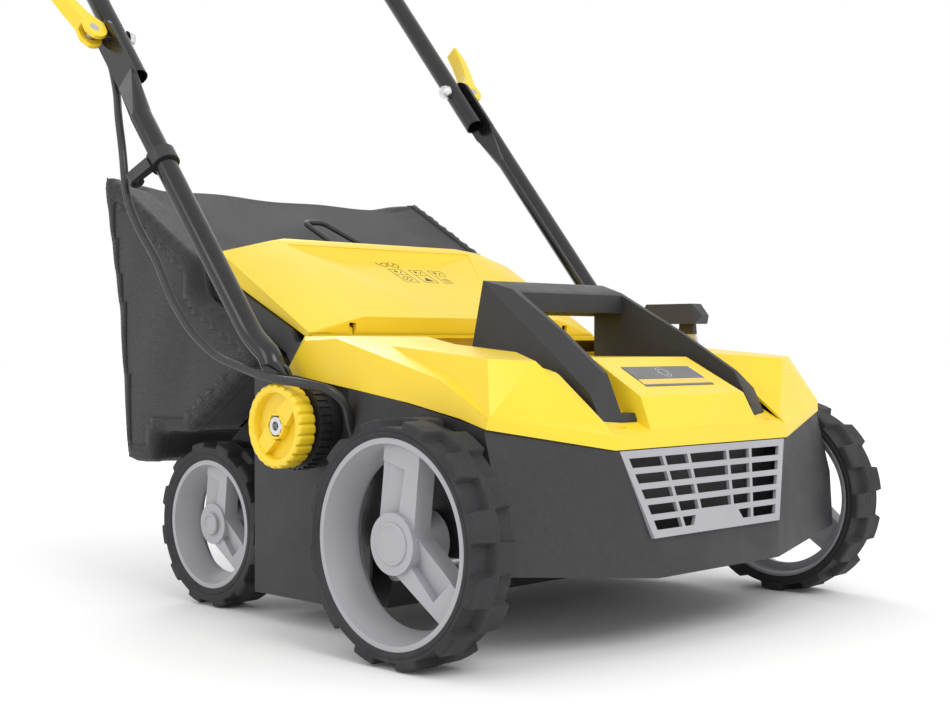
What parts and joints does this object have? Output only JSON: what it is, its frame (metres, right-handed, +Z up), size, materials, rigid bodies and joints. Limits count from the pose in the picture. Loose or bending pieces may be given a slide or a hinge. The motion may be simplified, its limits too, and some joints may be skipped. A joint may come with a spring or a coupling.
{
  "type": "lawn dethatcher",
  "caption": "Electric lawn dethatcher: faceted moulded cover over a bladed rotor, large front and small rear wheels, folding tubular push handle, carry handle and rear grass bag.",
  "frame": {"origin": "on the ground, on the centre plane, midway between the two axles", "axes": "+Z up, -Y forwards through the air grille, +Y towards the bag and the push handle, X across the machine"},
  "size_m": [0.596, 0.9596, 1.0235],
  "materials": {
    "cover_yellow": "satin",
    "deck_black": "fine texture",
    "rim_grey": "satin",
    "grille_grey": "satin",
    "tyre_black": "matt",
    "tube_black": "gloss",
    "steel": "brushed",
    "zinc": "bright",
    "motor_metal": "cast",
    "belt_rubber": "matt",
    "bag_cloth": "mesh",
    "grip_foam": "foam",
    "cable_black": "satin",
    "part_black": "satin",
    "button_red": "gloss",
    "plate": "gloss",
    "spacer_nylon": "plain"
  },
  "bodies": {
    "chassis": {"deck_housing": "deck_black", "top_cover": "cover_yellow", "front_grille": "grille_grey", "carry_handle": "deck_black", "badge_plate": "plate", "cover_screws": "steel", "motor_housing": "motor_metal", "drive_belt": "belt_rubber", "rotor_bearings": "steel", "axle_clamps": "part_black", "rear_axle": "steel", "deck_discs": "part_black", "pivot_bolts": "zinc", "flap_rod": "steel", "cable_deck": "cable_black"},
    "rotor": {"rotor_shaft": "steel", "rotor_blades": "steel", "rotor_spacers": "spacer_nylon", "rotor_pulley": "motor_metal"},
    "motor_shaft": {"motor_armature": "steel", "motor_pulley": "motor_metal"},
    "front_axle": {"front_axle": "tube_black", "height_knob": "part_black"},
    "knob_left": {"handle_knob_left": "cover_yellow"},
    "knob_right": {"handle_knob_right": "cover_yellow"},
    "lower_handle": {"lower_tube_left": "tube_black", "lower_tube_right": "tube_black", "handle_discs": "part_black", "cable_lower": "cable_black", "cable_clip": "part_black", "clamp_studs": "zinc", "dome_nuts": "zinc"},
    "upper_handle": {"upper_tube": "tube_black", "grip_sleeve": "grip_foam", "switch_box": "part_black", "switch_box_lid": "part_black", "inlet_pins": "zinc", "cord_hook": "part_black", "bail_clamp": "part_black", "cable_upper": "cable_black"},
    "clamp_left": {"clamp_lever_left": "cover_yellow"},
    "clamp_right": {"clamp_lever_right": "cover_yellow"},
    "bail": {"bail_lever": "tube_black"},
    "button": {"start_button": "button_red"},
    "flap": {"rear_flap": "cover_yellow"},
    "bag": {"grass_bag": "bag_cloth", "bag_frame": "part_black", "bag_handle": "part_black"},
    "front_wheel_left": {"front_tyre_left": "tyre_black", "front_rim_left": "rim_grey", "front_hub_cap_left": "rim_grey"},
    "front_wheel_right": {"front_tyre_right": "tyre_black", "front_rim_right": "rim_grey", "front_hub_cap_right": "rim_grey"},
    "rear_wheel_left": {"rear_tyre_left": "tyre_black", "rear_rim_left": "rim_grey", "rear_hub_cap_left": "rim_grey"},
    "rear_wheel_right": {"rear_tyre_right": "tyre_black", "rear_rim_right": "rim_grey", "rear_hub_cap_right": "rim_grey"}
  },
  "joints": [
    {"name": "rotor_spin", "type": "hinge", "parent": "chassis", "child": "rotor", "pos_m": [0, 0.002, 0.08], "axis": [1, 0, 0], "continuous": true},
    {"name": "motor_spin", "type": "hinge", "parent": "chassis", "child": "motor_shaft", "pos_m": [0, -0.162, 0.15], "axis": [1, 0, 0], "continuous": true},
    {"name": "height_lever", "type": "hinge", "parent": "chassis", "child": "front_axle", "pos_m": [0, -0.128, 0.073], "axis": [1, 0, 0], "range_deg": [0, 16]},
    {"name": "front_wheel_left_spin", "type": "hinge", "parent": "front_axle", "child": "front_wheel_left", "pos_m": [0.273, -0.1715, 0.1], "axis": [1, 0, 0], "continuous": true},
    {"name": "front_wheel_right_spin", "type": "hinge", "parent": "front_axle", "child": "front_wheel_right", "pos_m": [-0.273, -0.1715, 0.1], "axis": [1, 0, 0], "continuous": true},
    {"name": "rear_wheel_left_spin", "type": "hinge", "parent": "chassis", "child": "rear_wheel_left", "pos_m": [0.205, 0.1715, 0.0812], "axis": [1, 0, 0], "continuous": true},
    {"name": "rear_wheel_right_spin", "type": "hinge", "parent": "chassis", "child": "rear_wheel_right", "pos_m": [-0.205, 0.1715, 0.0812], "axis": [1, 0, 0], "continuous": true},
    {"name": "knob_left_turn", "type": "hinge", "parent": "chassis", "child": "knob_left", "pos_m": [0.27, -0.005, 0.187], "axis": [1, 0, 0], "continuous": true},
    {"name": "knob_right_turn", "type": "hinge", "parent": "chassis", "child": "knob_right", "pos_m": [-0.27, -0.005, 0.187], "axis": [1, 0, 0], "continuous": true},
    {"name": "handle_tilt", "type": "hinge", "parent": "chassis", "child": "lower_handle", "pos_m": [0, -0.005, 0.187], "axis": [1, 0, 0], "range_deg": [-12, 105], "deforming": ["cable_lower", "cable_deck"]},
    {"name": "handle_fold", "type": "hinge", "parent": "lower_handle", "child": "upper_handle", "pos_m": [0, 0.304, 0.577], "axis": [-1, 0, 0], "range_deg": [0, 130], "deforming": ["cable_upper"]},
    {"name": "clamp_left_swing", "type": "hinge", "parent": "lower_handle", "child": "clamp_left", "pos_m": [0.2747, 0.304, 0.577], "axis": [0, 0.7738, -0.6334], "range_deg": [0, 100]},
    {"name": "clamp_right_swing", "type": "hinge", "parent": "lower_handle", "child": "clamp_right", "pos_m": [-0.2747, 0.304, 0.577], "axis": [0, -0.7738, 0.6334], "range_deg": [0, 100]},
    {"name": "bail_squeeze", "type": "hinge", "parent": "upper_handle", "child": "bail", "pos_m": [0, 0.62731, 0.96884], "axis": [-1, 0, 0], "range_deg": [0, 48], "stiffness_Nm_per_rad": 0.6, "springref_deg": -20.05},
    {"name": "start_push", "type": "slide", "parent": "upper_handle", "child": "button", "axis": [0, 0.7738, -0.6334], "range_m": [0, 0.004], "stiffness_N_per_m": 400, "springref_m": -0.003},
    {"name": "flap_lift", "type": "hinge", "parent": "chassis", "child": "flap", "pos_m": [0, 0.046, 0.272], "axis": [1, 0, 0], "range_deg": [0, 55]},
    {"name": "bag_removal", "type": "slide", "parent": "chassis", "child": "bag", "axis": [0, 1, 0], "range_m": [0, 0.35]}
  ],
  "couplings": [
    {"joint": "motor_spin", "follows": "rotor_spin", "ratio": 2.5}
  ]
}
